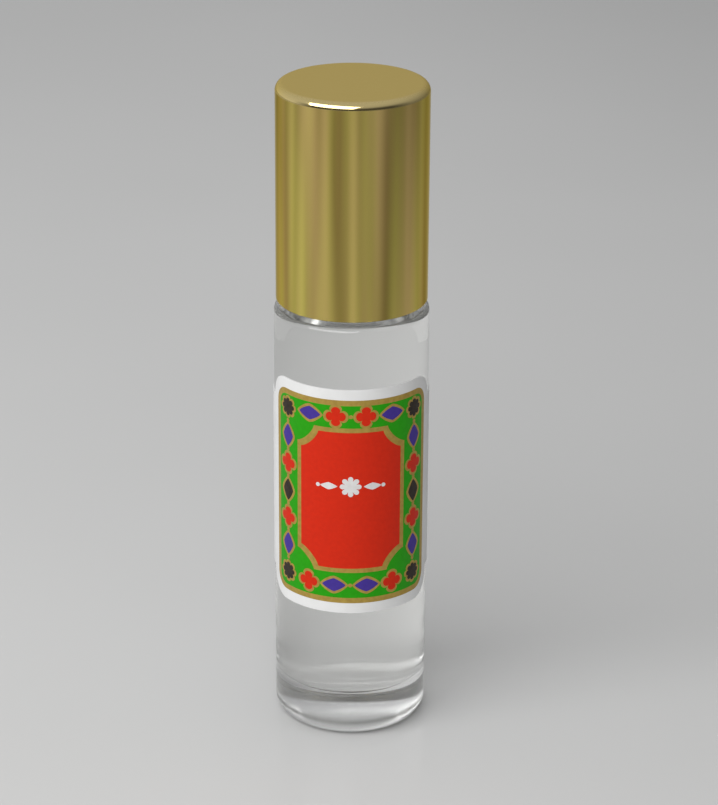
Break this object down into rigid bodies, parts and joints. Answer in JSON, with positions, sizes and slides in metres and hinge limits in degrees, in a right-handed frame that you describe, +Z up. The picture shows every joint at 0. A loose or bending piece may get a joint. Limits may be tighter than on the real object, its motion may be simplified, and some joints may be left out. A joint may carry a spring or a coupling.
{
  "type": "roll-on bottle",
  "caption": "Slim round glass roll-on bottle for perfume oil, with a printed front label, a steel ball in a snap-in fitment and a tall gold screw cap that lifts off.",
  "frame": {"origin": "middle of the foot, on the surface that the bottle stands on", "axes": "+Z up along the bottle's axis, front label towards -Y"},
  "size_m": [0.0202, 0.0201, 0.087],
  "materials": {
    "clear_glass": "clear, polished",
    "clear_oil": "clear liquid",
    "label_paper": "printed, satin",
    "natural_plastic": "natural",
    "polished_steel": "polished",
    "soft_pad": "matte",
    "white_plastic": "moulded",
    "gold_metal": "gold, polished"
  },
  "bodies": {
    "bottle": {"glass_bottle": "clear_glass", "perfume_oil": "clear_oil", "front_label": "label_paper", "roller_fitment": "natural_plastic"},
    "ball": {"roller_ball": "polished_steel"},
    "pad": {"seal_pad": "soft_pad"},
    "cap": {"inner_cap": "white_plastic", "cap_shell": "gold_metal"}
  },
  "joints": [
    {"name": "ball_roll", "type": "hinge", "parent": "bottle", "child": "ball", "pos_m": [0, 0, 0.0704], "axis": [1, 0, 0], "continuous": true},
    {"name": "cap_lift", "type": "slide", "parent": "bottle", "child": "pad", "axis": [0, 0, 1], "range_m": [0, 0.027]},
    {"name": "cap_turn", "type": "hinge", "parent": "pad", "child": "cap", "pos_m": [0, 0, 0.0728], "axis": [0, 0, 1], "range_deg": [0, 450]}
  ]
}
